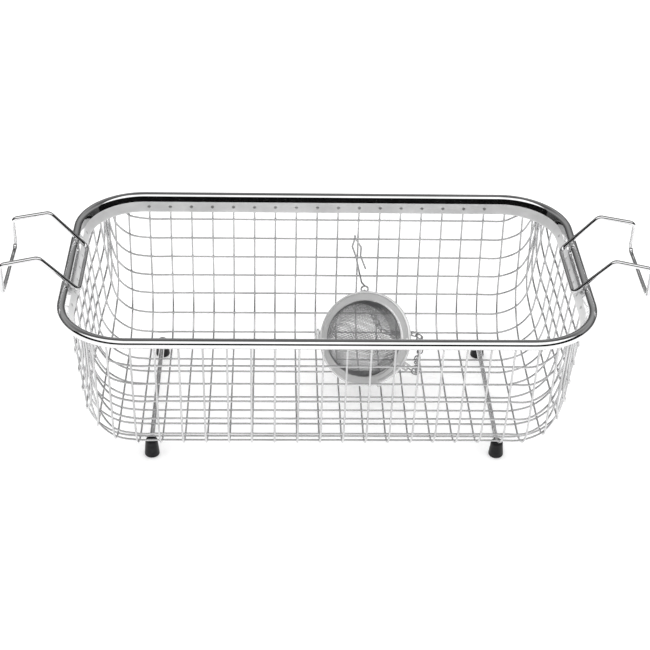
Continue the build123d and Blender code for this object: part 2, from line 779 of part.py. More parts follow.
chain_route = chain_path.wire()
chain_length = chain_route.length
link_count = round(chain_length / link_step)
single_link = chain_link()
links = []
for number in range(link_count):
    share = (number + 0.5) / link_count
    along = chain_route % share
    level_side = Vector(0, 0, 1).cross(along).normalized()
    lifted = along.cross(level_side)
    twist = max(0.0, number - link_count + 1 + twisted_links) / twisted_links * chain_end_twist
    roll = math.radians(90 * (number % 2) + twist)
    flat = level_side * math.cos(roll) + lifted * math.sin(roll)
    links.append(single_link.moved(Plane(origin=chain_route @ share, x_dir=along, z_dir=flat).location))
groups = (("chain_upper", 0, 6), ("chain_middle", 6, 16), ("chain_lower", 16, link_count))
for group_name, first_link, end_link in groups:
    group = Compound(label=group_name, children=links[first_link:end_link])
    export_step(group, f"parts/{group_name}.step")
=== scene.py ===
import math

import bpy
import numpy as np
from mathutils import Matrix, Vector


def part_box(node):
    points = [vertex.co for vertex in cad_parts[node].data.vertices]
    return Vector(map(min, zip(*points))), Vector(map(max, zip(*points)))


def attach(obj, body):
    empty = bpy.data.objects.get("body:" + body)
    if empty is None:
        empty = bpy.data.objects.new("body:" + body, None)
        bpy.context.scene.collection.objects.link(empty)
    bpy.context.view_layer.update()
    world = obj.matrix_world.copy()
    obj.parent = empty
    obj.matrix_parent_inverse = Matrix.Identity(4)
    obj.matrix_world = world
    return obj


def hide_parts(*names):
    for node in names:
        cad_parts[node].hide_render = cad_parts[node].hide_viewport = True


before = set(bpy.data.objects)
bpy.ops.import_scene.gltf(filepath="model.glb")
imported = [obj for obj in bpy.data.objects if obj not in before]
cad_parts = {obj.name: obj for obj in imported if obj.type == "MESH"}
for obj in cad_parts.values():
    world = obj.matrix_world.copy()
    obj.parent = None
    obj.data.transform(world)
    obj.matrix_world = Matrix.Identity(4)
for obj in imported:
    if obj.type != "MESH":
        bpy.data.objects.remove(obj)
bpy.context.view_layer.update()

MM = 0.001

# ---------------------------------------------------------------------------
# Sizes, in millimetres.  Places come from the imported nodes' boxes.
# ---------------------------------------------------------------------------

# Mesh
MESH_PITCH = 11.0
MESH_WIRE = 1.0
WELD_DEPTH = 0.04
WALL_DRAFT = math.radians(5.1)
BOTTOM_RADIUS = 24.0
MESH_INSET = 3.0
MESH_TOP_DROP = 1.0
FIRST_CROSS_WIRE = -2.9
FIRST_LONG_WIRE = 2.5
NET_REACH = 40              # wires on each side of the middle, at most
TUCK_RISE = 0.2             # wire ends above the bead centre
KINK_DROP = 0.8             # bend in a wire below the band's lower edge
KINK_RUN = 1.5              # last crossing at least this far below the bend
CURL_FIT = 0.05             # clearance of the wire ends inside the curl
WIRE_SIDES = 12
WIRE_STEPS = 5              # stretches of a wire between two crossings
NUGGET_RADIUS = 0.66        # weld where two wires cross
NUGGET_HEIGHT = 0.34

# Rim
BEAD_RADIUS = 2.45
RIM_SHEET = 0.6
BAND_STEPS = 6              # stretches of the rim's outline along the band
BAND_SATIN_STEPS = 4
BAND_BACK_STEPS = 11
CURL_STEPS = 48
LIP_STEPS = 6
RIM_CORNER = 32.0
BAND_SLANT = math.radians(25.0)
BAND_DROP = 6.0
CURL_END = math.radians(-115.0)
CORNER_STEPS = 40
STRAIGHT_STEP = 6.4
SPOT_DROP = 5.0             # spot welds below the start of the curl, along the band
SPOT_RADIUS = 0.85
SPOT_HEIGHT = 0.12
SPOT_MARGIN = 6.0           # how far into a rim corner a wire still gets one

# Handles
HANDLE_WIRE = 2.3
HANDLE_BEND = 3.0
LEG_ANGLE = math.radians(47.0)
BASE_DROP = 1.8
PEAK_RISE = 17.0
SHOULDER_RISE = 13.2
GRIP_DROP = 2.6
HANDLE_REACH = 29.4
BASE_HALF = 19.8
GRIP_HALF = 21.4
HANDLE_Y = -1.3
HANDLE_SLOPE = 8.0          # height above the first bend over which the legs would reach the grip's width
HANDLE_STEP = 1.5
HANDLE_SIDES = 24
BUTT_WELD_RISE = 1.45       # above the end of the grip's bend
BUTT_WELD_SWELL = 0.28
BUTT_WELD_LENGTH = 0.9
LEG_WELD = (1.5, 0.75, 0.55)
LEG_WELD_SPREAD = 0.85

# Strainer
STRAINER_TURN = math.radians(28.0)
STRAINER_LEAN = math.radians(35.5)
CLOTH_RADIUS = 19.5
CLOTH_PITCH = 0.85
CLOTH_WIRE = 0.26
CLOTH_WAVE = 0.13
CLOTH_BASE = 0.35
CLOTH_SIDES = 5
CLOTH_LEAST_SPAN = 0.01
CLOTH_PAINTED_SHADE_FROM = 0.87     # share of the radius where the painted shade on the steep edge begins

# Studio
FLOOR_REACH = 3.0           # metres
FLOOR_GLOW = 0.28
STUDIO_STRENGTH = 1.1
STUDIO_RAMP = (             # elevation in degrees, counted over the top from the front, and its shade
    (-180, 0.95),
    (-1, 0.95),
    (2, 0.002),
    (34, 0.002),
    (39, 1.25),
    (76, 1.25),
    (84, 0.12),
    (125, 0.10),
    (146, 0.32),
    (160, 0.12),
    (178, 0.03),
)
CAMERA_LENS = 82.17
CAMERA_SENSOR = 36.0
CAMERA_PITCH = math.radians(34.486)
CAMERA_YAW = math.radians(2.487)
CAMERA_ROLL = math.radians(1.686)


def node_box(name):
    """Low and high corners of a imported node."""
    low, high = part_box(name)
    return np.array(low) / MM, np.array(high) / MM


rim_low, rim_high = node_box("rim")
RIM_HALF_X = rim_high[0] - BEAD_RADIUS
RIM_HALF_Y = rim_high[1] - BEAD_RADIUS
RIM_Z = rim_high[2] - BEAD_RADIUS
FLOOR_Z = node_box("mesh_wires_cross")[0][2] + MESH_WIRE - WELD_DEPTH / 2
CAMERA_PLACE = (-26.5, -613.7, 461.5 + FLOOR_Z)


# ---------------------------------------------------------------------------
# Mesh building
# ---------------------------------------------------------------------------
def new_piece(name, verts, faces, material, body, replaces=(), slot=None):
    """A smooth piece that rides on a body."""
    mesh = bpy.data.meshes.new(name)
    mesh.from_pydata([tuple(v) for v in np.asarray(verts) * MM], [], faces)
    mesh.validate()
    mesh.polygons.foreach_set("use_smooth", [True] * len(mesh.polygons))
    mesh.materials.append(material)
    piece = bpy.data.objects.new(name, mesh)
    bpy.context.scene.collection.objects.link(piece)
    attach(piece, body)
    if replaces:
        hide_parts(*replaces)
    return piece


class Builder:
    """Collects vertices and faces of many small forms into one mesh."""

    def __init__(self):
        self.verts = []
        self.faces = []
        self.count = 0

    def add(self, verts, faces):
        base = self.count
        self.verts.append(np.asarray(verts, dtype=float))
        self.faces.extend([tuple(base + i for i in face) for face in faces])
        self.count += len(verts)

    def tube(self, path, radius, sides, closed=False):
        """Round tube along a path, with frames carried along so that it doesn't twist."""
        path = np.asarray(path, dtype=float)
        count = len(path)
        if closed:
            tangents = np.roll(path, -1, 0) - np.roll(path, 1, 0)
        else:
            tangents = np.gradient(path, axis=0)
        tangents /= np.linalg.norm(tangents, axis=1)[:, None]
        side = np.cross(tangents[0], [0.31, 0.52, 0.79])
        side /= np.linalg.norm(side)
        frames = []
        for tangent in tangents:
            side = side - tangent * (side @ tangent)
            side /= np.linalg.norm(side)
            frames.append((side.copy(), np.cross(tangent, side)))
        if closed:
            end = frames[-1][0] - tangents[0] * (frames[-1][0] @ tangents[0])
            slip = math.atan2(end @ frames[0][1], end @ frames[0][0])
            untwisted = []
            for k, (a, b) in enumerate(frames):
                cos, sin = math.cos(-slip * k / count), math.sin(-slip * k / count)
                untwisted.append((a * cos + b * sin, b * cos - a * sin))
            frames = untwisted
        angles = np.linspace(0, 2 * math.pi, sides, endpoint=False)
        ring = np.stack([np.cos(angles), np.sin(angles)], 1)
        radii = np.broadcast_to(np.asarray(radius, dtype=float), (count,))
        verts = []
        for k in range(count):
            a, b = frames[k]
            verts.append(path[k] + radii[k] * (ring[:, :1] * a + ring[:, 1:] * b))
        faces = []
        for k in range(count if closed else count - 1):
            low = k * sides
            high = ((k + 1) % count) * sides
            for s in range(sides):
                t = (s + 1) % sides
                faces.append((low + s, low + t, high + t, high + s))
        if not closed:
            faces.append(tuple(range(sides - 1, -1, -1)))
            faces.append(tuple((count - 1) * sides + s for s in range(sides)))
        self.add(np.concatenate(verts), faces)

    def blob(self, centre, axes, segments=10, rings=6):
        """Ellipsoid with the given half axes (three vectors)."""
        a, b, c = [np.asarray(v, dtype=float) for v in axes]
        verts = [centre + c]
        for r in range(1, rings):
            polar = math.pi * r / rings
            for s in range(segments):
                around = 2 * math.pi * s / segments
                verts.append(
                    centre
                    + math.cos(polar) * c
                    + math.sin(polar) * (math.cos(around) * a + math.sin(around) * b)
                )
        verts.append(centre - c)
        faces = [(0, 1 + s, 1 + (s + 1) % segments) for s in range(segments)]
        for r in range(rings - 2):
            for s in range(segments):
                t = (s + 1) % segments
                low = 1 + r * segments
                faces.append((low + s, low + segments + s, low + segments + t, low + t))
        last = 1 + (rings - 1) * segments
        low = last - segments
        faces.extend([(low + (s + 1) % segments, low + s, last) for s in range(segments)])
        self.add(verts, faces)

    def piece(self, name, material, body, **kind):
        return new_piece(name, np.concatenate(self.verts), self.faces, material, body, **kind)


def filleted(points, radius, steps):
    """Closed polyline with its corners rounded by arcs."""
    points = [np.asarray(p, dtype=float) for p in points]
    count = len(points)
    out = []
    for k in range(count):
        here = points[k]
        back = points[k - 1] - here
        ahead = points[(k + 1) % count] - here
        back_unit = back / np.linalg.norm(back)
        ahead_unit = ahead / np.linalg.norm(ahead)
        half = math.acos(np.clip(back_unit @ ahead_unit, -1, 1)) / 2
        trim = radius / math.tan(half)
        middle = back_unit + ahead_unit
        middle /= np.linalg.norm(middle)
        centre = here + middle * radius / math.sin(half)
        start = here + back_unit * trim - centre
        end = here + ahead_unit * trim - centre
        total = math.pi - 2 * half
        for s in range(steps + 1):
            share = s / steps
            out.append(
                centre
                + start * math.sin((1 - share) * total) / math.sin(total)
                + end * math.sin(share * total) / math.sin(total)
            )
    return np.array(out)


def resampled(path, step):
    """The same closed path with no stretch longer than the step."""
    out = []
    count = len(path)
    for k in range(count):
        start = path[k]
        end = path[(k + 1) % count]
        pieces = max(1, math.ceil(np.linalg.norm(end - start) / step))
        for s in range(pieces):
            out.append(start + (end - start) * s / pieces)
    return np.array(out)


def smooth_through(points, steps):
    """Curve through every point, with each stretch's speed set by its neighbours."""
    points = np.asarray(points, dtype=float)
    padded = np.vstack([2 * points[0] - points[1], points, 2 * points[-1] - points[-2]])
    out = []
    for k in range(1, len(padded) - 2):
        before, start, end, after = padded[k - 1: k + 3]
        stretches = ((before, start), (start, end), (end, after))
        gaps = [max(np.linalg.norm(b - a), 1e-6) ** 0.5 for a, b in stretches]
        leave = (start - before) / gaps[0] - (end - before) / (gaps[0] + gaps[1]) + (end - start) / gaps[1]
        arrive = (end - start) / gaps[1] - (after - start) / (gaps[1] + gaps[2]) + (after - end) / gaps[2]
        leave = leave * gaps[1]
        arrive = arrive * gaps[1]
        for s in range(steps):
            t = s / steps
            out.append(
                (2 * t**3 - 3 * t**2 + 1) * start
                + (t**3 - 2 * t**2 + t) * leave
                + (3 * t**2 - 2 * t**3) * end
                + (t**3 - t**2) * arrive
            )
    out.append(padded[-2])
    return np.array(out)


# ---------------------------------------------------------------------------
# Materials
# ---------------------------------------------------------------------------
class Nodes:
    """A material's node tree, with short calls for the nodes used here."""

    def __init__(self, name):
        self.material = bpy.data.materials.new(name)
        self.material.use_nodes = True
        self.tree = self.material.node_tree
        self.shader = self.tree.nodes["Principled BSDF"]
        self.place = self.tree.nodes.new("ShaderNodeTexCoord").outputs["Object"]

    def link(self, a, b):
        self.tree.links.new(a, b)

    def noise(self, scale, detail=3.0, stretch=None):
        """Procedural noise in the object's own space."""
        node = self.tree.nodes.new("ShaderNodeTexNoise")
        node.inputs["Scale"].default_value = scale
        node.inputs["Detail"].default_value = detail
        if stretch:
            mapping = self.tree.nodes.new("ShaderNodeMapping")
            mapping.inputs["Scale"].default_value = stretch
            self.link(self.place, mapping.inputs["Vector"])
            self.link(mapping.outputs["Vector"], node.inputs["Vector"])
        else:
            self.link(self.place, node.inputs["Vector"])
        return node.outputs["Fac"]

    def ramp(self, value, stops):
        """A colour or a grey for a value, between stops."""
        node = self.tree.nodes.new("ShaderNodeValToRGB")
        elements = node.color_ramp.elements
        while len(elements) < len(stops):
            elements.new(0.5)
        for element, (position, shade) in zip(elements, stops):
            element.position = position
            element.color = (*shade, 1.0) if isinstance(shade, tuple) else (shade, shade, shade, 1.0)
        self.link(value, node.inputs["Fac"])
        return node.outputs["Color"]

    def spread(self, value, low, high):
        """A value from 0 to 1, spread over a range."""
        node = self.tree.nodes.new("ShaderNodeMapRange")
        node.inputs["To Min"].default_value = low
        node.inputs["To Max"].default_value = high
        self.link(value, node.inputs["Value"])
        return node.outputs["Result"]

    def bump(self, value, strength, distance):
        node = self.tree.nodes.new("ShaderNodeBump")
        node.inputs["Strength"].default_value = strength
        node.inputs["Distance"].default_value = distance
        self.link(value, node.inputs["Height"])
        self.link(node.outputs["Normal"], self.shader.inputs["Normal"])

    def set(self, **values):
        """Constant values, set on the shader's sockets."""
        for name, value in values.items():
            self.shader.inputs[name.replace("_", " ")].default_value = value


def grey(shade):
    """A steel's grey, with a trace of blue."""
    return (shade, shade, shade + 0.005)


def steel(name, shades, roughness, bump=0.02, stretch=None, metallic=1.0):
    """Steel with two shades, a range of roughness and a fine grain."""
    nodes = Nodes(name)
    nodes.set(Metallic=metallic)
    tone = nodes.ramp(nodes.noise(60.0, 4.0), [(0.3, shades[0]), (0.7, shades[1])])
    nodes.link(tone, nodes.shader.inputs["Base Color"])
    nodes.link(nodes.spread(nodes.noise(240.0, 3.0), *roughness), nodes.shader.inputs["Roughness"])
    nodes.bump(nodes.noise(900.0, 2.0, stretch), bump, 0.00005)
    return nodes.material


def rubber(name):
    """Black moulded rubber with a fine pebble."""
    nodes = Nodes(name)
    shades = [(0.35, (0.005, 0.005, 0.006)), (0.75, (0.014, 0.014, 0.015))]
    tone = nodes.ramp(nodes.noise(500.0, 5.0), shades)
    nodes.link(tone, nodes.shader.inputs["Base Color"])
    nodes.link(nodes.spread(nodes.noise(900.0), 0.28, 0.42), nodes.shader.inputs["Roughness"])
    nodes.set(Specular_IOR_Level=0.22)
    nodes.bump(nodes.noise(2500.0, 3.0), 0.25, 0.0001)
    return nodes.material


polished = steel("polished_steel", (grey(0.76), grey(0.88)), (0.04, 0.09), bump=0.01)
bright_wire = steel("bright_wire", (grey(0.70), grey(0.84)), (0.04, 0.09))
mesh_steel = steel("mesh_steel", (grey(0.52), grey(0.68)), (0.14, 0.28), metallic=0.85)
rod_steel = steel("rod_steel", (grey(0.62), grey(0.76)), (0.08, 0.16), stretch=(1.0, 0.05, 1.0))
band_satin = steel("band_satin", (0.74, 0.90), (0.45, 0.6), bump=0.08, metallic=0.7)
satin = steel("satin_steel", (0.86, 0.94), (0.18, 0.28), bump=0.03, metallic=0.6)
cloth_steel = steel("cloth_steel", (grey(0.44), grey(0.70)), (0.12, 0.26))
# Painted shade: a darker cloth for the dome's steep edge, standing in for the collar's shadow
cloth_painted_shade = steel("cloth_painted_shade", (grey(0.16), grey(0.30)), (0.25, 0.4))
hook_steel = steel("hook_steel", (grey(0.42), grey(0.60)), (0.12, 0.22))
weld_steel = steel("weld_steel", (0.42, 0.62), (0.25, 0.45), bump=0.2)
foot_rubber = rubber("foot_rubber")


# ---------------------------------------------------------------------------
# Formed mesh: the same net of equal cells laid over the tray
# ---------------------------------------------------------------------------
HALF_X = RIM_HALF_X - MESH_INSET
HALF_Y = RIM_HALF_Y - MESH_INSET
CORNER = RIM_CORNER - MESH_INSET
MESH_TOP = RIM_Z - MESH_TOP_DROP
WALL_NORMAL = np.array([math.cos(WALL_DRAFT), math.sin(WALL_DRAFT)])
WALL_DOWN = np.array([math.sin(WALL_DRAFT), -math.cos(WALL_DRAFT)])
BEND_Z = FLOOR_Z + BOTTOM_RADIUS
BEND_IN = (BOTTOM_RADIUS - (BEND_Z - MESH_TOP) * math.sin(WALL_DRAFT)) / math.cos(WALL_DRAFT)


def outline(x, y):
    """Distance outside the tray's top outline, with its direction in plan."""
    over_x = abs(x) - (HALF_X - CORNER)
    over_y = abs(y) - (HALF_Y - CORNER)
    if over_x > 0 and over_y > 0:
        reach = math.hypot(over_x, over_y)
        return reach - CORNER, np.array([math.copysign(over_x, x), math.copysign(over_y, y)]) / reach
    if over_x > over_y:
        return over_x - CORNER, np.array([math.copysign(1.0, x), 0.0])
    return over_y - CORNER, np.array([0.0, math.copysign(1.0, y)])


def tray(point):
    """Distance inside the tray's surface, with the inward normal."""
    outside, away = outline(point[0], point[1])
    inside = -outside
    from_wall = inside * WALL_NORMAL[0] + (point[2] - MESH_TOP) * WALL_NORMAL[1]
    from_floor = point[2] - FLOOR_Z
    arm = np.array([inside - BEND_IN, point[2] - BEND_Z])
    if arm @ WALL_DOWN > 0 and arm[0] < 0:
        length = np.linalg.norm(arm)
        distance = BOTTOM_RADIUS - length
        slope = -arm / length
    elif from_wall < from_floor:
        distance = from_wall
        slope = WALL_NORMAL
    else:
        distance = from_floor
        slope = np.array([0.0, 1.0])
    return distance, np.array([-slope[0] * away[0], -slope[0] * away[1], slope[1]])


def settle(guess, anchors, plane=None):
    """Point on the tray one pitch from each anchor, and on the plane if one is given."""
    point = np.array(guess, dtype=float)
    for _ in range(40):
        distance, normal = tray(point)
        errors = [distance]
        slopes = [normal]
        for anchor in anchors:
            arm = point - anchor
            errors.append((arm @ arm - MESH_PITCH**2) / (2 * MESH_PITCH))
            slopes.append(arm / MESH_PITCH)
        if plane is not None:
            errors.append(point[plane[0]] - plane[1])
            slopes.append(np.eye(3)[plane[0]])
        step = np.linalg.solve(np.array(slopes), -np.array(errors))
        size = np.linalg.norm(step)
        point = point + step * min(1.0, 0.3 * MESH_PITCH / max(size, 1e-12))
        if size < 1e-9:
            break
    return point


def lay_net():
    """Crossings of the net, by cross wire number and long wire number."""
    origin = np.array([FIRST_CROSS_WIRE, FIRST_LONG_WIRE, FLOOR_Z])
    net = {(0, 0): origin}
    ceiling = RIM_Z + 2 * MESH_PITCH
    count_x = math.ceil((HALF_X + MESH_TOP) / MESH_PITCH) + 1
    count_y = math.ceil((HALF_Y + MESH_TOP) / MESH_PITCH) + 1
    for sign in (1, -1):
        for axis, count, held in ((0, count_x, (1, FIRST_LONG_WIRE)), (1, count_y, (0, FIRST_CROSS_WIRE))):
            last = origin
            before = origin - sign * MESH_PITCH * np.eye(3)[axis]
            for number in range(1, count):
                point = settle(2 * last - before, [last], held)
                before = last
                last = point
                net[(sign * number, 0) if axis == 0 else (0, sign * number)] = point
    for sign_x in (1, -1):
        for sign_y in (1, -1):
            for i in range(1, count_x):
                for j in range(1, count_y):
                    near = net.get((sign_x * (i - 1), sign_y * (j - 1)))
                    left = net.get((sign_x * i, sign_y * (j - 1)))
                    right = net.get((sign_x * (i - 1), sign_y * j))
                    if near is None or left is None or right is None:
                        continue
                    if min(near[2], left[2], right[2]) > ceiling:
                        continue
                    net[sign_x * i, sign_y * j] = settle(left + right - near, [left, right])
    return net


net = lay_net()
TUCK_Z = RIM_Z + TUCK_RISE
KINK_Z = RIM_Z - BAND_DROP - KINK_DROP
LAST_CROSSING_Z = KINK_Z - KINK_RUN
INSIDE_CURL = BEAD_RADIUS - RIM_SHEET - MESH_WIRE / 2 - CURL_FIT
LAYER = MESH_WIRE / 2 - WELD_DEPTH / 2


def against_band(point, level, line_offset):
    """A point at a level, behind the band, line_offset from the bead's centre line."""
    outside, away = outline(point[0], point[1])
    inward = line_offset / math.cos(BAND_SLANT) + (RIM_Z - level) * math.tan(BAND_SLANT)
    shift = (MESH_INSET - inward) - outside
    return np.array([point[0] + away[0] * shift, point[1] + away[1] * shift, level])


def at_level(low, high, level):
    """The point at a level on the line through two points."""
    return low + (high - low) * (level - low[2]) / (high[2] - low[2])


def net_wire(numbers, side):
    """Route of a wire through its crossings and up behind the band at both ends."""
    points = [net[n] for n in numbers if n in net]
    below = [k for k, point in enumerate(points) if point[2] < LAST_CROSSING_Z]
    first = below[0]
    last = below[-1]
    route = [points[k] + side * LAYER * tray(points[k])[1] for k in range(first, last + 1)]
    for index, beyond in ((first, first - 1), (last, last + 1)):
        kink = at_level(points[index], points[beyond], KINK_Z)
        kink = kink + side * LAYER * tray(kink)[1]
        end = against_band(at_level(points[index], points[beyond], TUCK_Z), TUCK_Z, INSIDE_CURL)
        if beyond < index:
            route = [end, kink] + route
        else:
            route = route + [kink, end]
    return route


SPAN = range(-NET_REACH, NET_REACH + 1)
long_numbers = [j for j in SPAN if (0, j) in net and net[0, j][2] < LAST_CROSSING_Z]
cross_numbers = [i for i in SPAN if (i, 0) in net and net[i, 0][2] < LAST_CROSSING_Z]

for name, numbers, side in (
    ("mesh_wires_long", [[(i, j) for i in SPAN] for j in long_numbers], 1),
    ("mesh_wires_cross", [[(i, j) for j in SPAN] for i in cross_numbers], -1),
):
    wires = Builder()
    for row in numbers:
        wires.tube(smooth_through(net_wire(row, side), WIRE_STEPS), MESH_WIRE / 2, WIRE_SIDES)
    wires.piece(f"{name}_formed", mesh_steel, "basket", replaces=(name,), slot="mesh_wire")

nuggets = Builder()
for i in cross_numbers:
    for j in long_numbers:
        point = net.get((i, j))
        if point is None or point[2] > LAST_CROSSING_Z:
            continue
        normal = tray(point)[1]
        along = net.get((i + 1, j), point + [1, 0, 0]) - point
        along = along - normal * (along @ normal)
        along /= np.linalg.norm(along)
        across = np.cross(normal, along)
        half_axes = (along * NUGGET_RADIUS, across * NUGGET_RADIUS, normal * NUGGET_HEIGHT)
        nuggets.blob(point, half_axes, 8, 5)
nuggets.piece("mesh_welds", mesh_steel, "basket", slot="mesh_wire")


# ---------------------------------------------------------------------------
# Rim
# ---------------------------------------------------------------------------
def rim_path():
    """Points round the rim's centre line, with their outward directions."""
    straight_x = RIM_HALF_X - RIM_CORNER
    straight_y = RIM_HALF_Y - RIM_CORNER
    out = []
    corners = ((1, -1, -90), (1, 1, 0), (-1, 1, 90), (-1, -1, 180))
    for index, (sx, sy, start) in enumerate(corners):
        centre = np.array([sx * straight_x, sy * straight_y])
        for s in range(CORNER_STEPS + 1):
            angle = math.radians(start + 90 * s / CORNER_STEPS)
            away = np.array([math.cos(angle), math.sin(angle)])
            out.append((centre + away * RIM_CORNER, away))
        next_sx, next_sy, next_start = corners[(index + 1) % 4]
        angle = math.radians(next_start)
        away = np.array([math.cos(angle), math.sin(angle)])
        begin = out[-1][0]
        finish = np.array([next_sx * straight_x, next_sy * straight_y]) + away * RIM_CORNER
        pieces = max(2, round(np.linalg.norm(finish - begin) / STRAIGHT_STEP))
        for s in range(1, pieces):
            out.append((begin + (finish - begin) * s / pieces, away))
    return out


CURL_START = math.pi - BAND_SLANT
INNER = BEAD_RADIUS - RIM_SHEET


def rim_profile():
    """Closed outline of the band and bead: outward and up from the bead centre."""
    points = []
    edge = RIM_SHEET / 2
    along = np.array([-math.sin(BAND_SLANT), -math.cos(BAND_SLANT)])
    outward = np.array([math.cos(CURL_START), math.sin(CURL_START)])
    length = (BEAD_RADIUS * math.sin(CURL_START) + BAND_DROP) / math.cos(BAND_SLANT)
    for s in range(BAND_STEPS):
        points.append(outward * BEAD_RADIUS + along * (length - edge) * (1 - s / BAND_STEPS))
    for s in range(CURL_STEPS + 1):
        angle = CURL_START + (CURL_END - CURL_START) * s / CURL_STEPS
        points.append(np.array([math.cos(angle), math.sin(angle)]) * BEAD_RADIUS)
    tip = np.array([math.cos(CURL_END), math.sin(CURL_END)])
    back = np.array([math.sin(CURL_END), -math.cos(CURL_END)])
    for s in range(1, LIP_STEPS):
        turn = math.pi * s / LIP_STEPS
        lip = tip * (BEAD_RADIUS - edge + edge * math.cos(turn)) + back * edge * math.sin(turn)
        points.append(lip)
    for s in range(CURL_STEPS + 1):
        angle = CURL_END + (CURL_START - CURL_END) * s / CURL_STEPS
        points.append(np.array([math.cos(angle), math.sin(angle)]) * INNER)
    for s in range(1, BAND_STEPS + 1):
        points.append(outward * INNER + along * (length - edge) * s / BAND_STEPS)
    middle = outward * (BEAD_RADIUS - edge) + along * (length - edge)
    for s in range(1, LIP_STEPS):
        turn = math.pi * s / LIP_STEPS
        points.append(middle - outward * edge * math.cos(turn) + along * edge * math.sin(turn))
    return points


path = rim_path()
profile = rim_profile()
rim = Builder()
verts = []
for place, away in path:
    for out, up in profile:
        verts.append((place[0] + away[0] * out, place[1] + away[1] * out, RIM_Z + up))
faces = []
size = len(profile)
for k in range(len(path)):
    low = k * size
    high = ((k + 1) % len(path)) * size
    for s in range(size):
        t = (s + 1) % size
        faces.append((low + s, low + t, high + t, high + s))
rim.add(verts, faces)
rim_piece = rim.piece("rim_rolled", polished, "basket", replaces=("rim",), slot="polished_rim")
rim_piece.data.materials.append(band_satin)
satin_faces = [*range(BAND_SATIN_STEPS), *range(size - BAND_BACK_STEPS, size)]
finish_of_face = [1 if s in satin_faces else 0 for s in range(size)]
rim_piece.data.polygons.foreach_set("material_index", finish_of_face * len(path))

# Spot welds where the wires are fixed behind the band
band_spots = Builder()
along_band = np.array([-math.sin(BAND_SLANT), -math.cos(BAND_SLANT)])
face_start = np.array([math.cos(CURL_START), math.sin(CURL_START)]) * BEAD_RADIUS
spot_place = face_start + along_band * SPOT_DROP
spots = []
for i in cross_numbers:
    for j_end, sy in ((max(long_numbers), 1), (min(long_numbers), -1)):
        if (i, j_end) in net and abs(net[i, j_end][0]) < RIM_HALF_X - RIM_CORNER + SPOT_MARGIN:
            spots.append((np.array([net[i, j_end][0], 0]), np.array([0, sy])))
for j in long_numbers:
    for i_end, sx in ((max(cross_numbers), 1), (min(cross_numbers), -1)):
        if (i_end, j) in net and abs(net[i_end, j][1]) < RIM_HALF_Y - RIM_CORNER + SPOT_MARGIN:
            spots.append((np.array([0, net[i_end, j][1]]), np.array([sx, 0])))
for place, away in spots:
    half = np.array([RIM_HALF_X, RIM_HALF_Y]) * away
    flat = place + half + away * spot_place[0]
    centre = np.array([flat[0], flat[1], RIM_Z + spot_place[1]])
    level_part = -away * math.cos(BAND_SLANT)
    normal = np.array([level_part[0], level_part[1], math.sin(BAND_SLANT)])
    side = np.array([-away[1], away[0], 0.0])
    up = np.cross(normal, side)
    band_spots.blob(centre, (side * SPOT_RADIUS, up * SPOT_RADIUS, normal * SPOT_HEIGHT), 16, 6)
band_spots.piece("band_spot_welds", weld_steel, "basket", slot="polished_rim")


# ---------------------------------------------------------------------------
# Handles
# ---------------------------------------------------------------------------
LEG_OFFSET = BEAD_RADIUS + HANDLE_WIRE / 2 - WELD_DEPTH


def on_leg(height):
    """How far outside the bead's centre a leg is at a height over it."""
    along = (height - LEG_OFFSET * math.cos(LEG_ANGLE)) / math.sin(LEG_ANGLE)
    return -LEG_OFFSET * math.sin(LEG_ANGLE) + along * math.cos(LEG_ANGLE)


LEG_SHARE = (PEAK_RISE + BASE_DROP) / (PEAK_RISE + BASE_DROP + HANDLE_SLOPE)
PEAK_HALF = BASE_HALF + (GRIP_HALF - BASE_HALF) * LEG_SHARE
for side, name in ((-1, "handle_left"), (1, "handle_right")):
    bead_x = side * RIM_HALF_X
    base = (bead_x + side * on_leg(-BASE_DROP), BASE_HALF, RIM_Z - BASE_DROP)
    peak = (bead_x + side * on_leg(PEAK_RISE), PEAK_HALF, RIM_Z + PEAK_RISE)
    shoulder = (bead_x + side * HANDLE_REACH, GRIP_HALF, RIM_Z + SHOULDER_RISE)
    grip = (bead_x + side * HANDLE_REACH, GRIP_HALF, RIM_Z - GRIP_DROP)
    loop = []
    for x, half, z in (base, peak, shoulder, grip):
        loop.append((x, HANDLE_Y - half, z))
    for x, half, z in (grip, shoulder, peak, base):
        loop.append((x, HANDLE_Y + half, z))
    wire = Builder()
    route = resampled(filleted(loop, HANDLE_BEND, 10), HANDLE_STEP)
    joint = np.array([grip[0], HANDLE_Y + GRIP_HALF, grip[2] + HANDLE_BEND + BUTT_WELD_RISE])
    from_joint = np.linalg.norm(route - joint, axis=1)
    radii = HANDLE_WIRE / 2 + BUTT_WELD_SWELL * np.exp(-((from_joint / BUTT_WELD_LENGTH) ** 2))
    wire.tube(route, radii, HANDLE_SIDES, closed=True)
    wire.piece(f"{name}_wire", bright_wire, "basket", replaces=(name,), slot="polished_wire")
    welds = Builder()
    rise = BEAD_RADIUS * math.cos(LEG_ANGLE)
    out = -BEAD_RADIUS * math.sin(LEG_ANGLE)
    share = (rise + BASE_DROP) / (PEAK_RISE + BASE_DROP)
    leg_half = BASE_HALF + (PEAK_HALF - BASE_HALF) * share
    along = np.array([side * math.cos(LEG_ANGLE), 0, math.sin(LEG_ANGLE)])
    up = np.array([-side * math.sin(LEG_ANGLE), 0, math.cos(LEG_ANGLE)])
    half_axes = (along * LEG_WELD[0], np.array([0, LEG_WELD[1], 0]), up * LEG_WELD[2])
    for sy in (-1, 1):
        for spread_y in (-1, 1):
            y = HANDLE_Y + sy * leg_half + spread_y * LEG_WELD_SPREAD
            centre = np.array([bead_x + side * out, y, RIM_Z + rise])
            welds.blob(centre, half_axes, 16, 8)
    welds.piece(f"{name}_welds", weld_steel, "basket", slot="polished_wire")


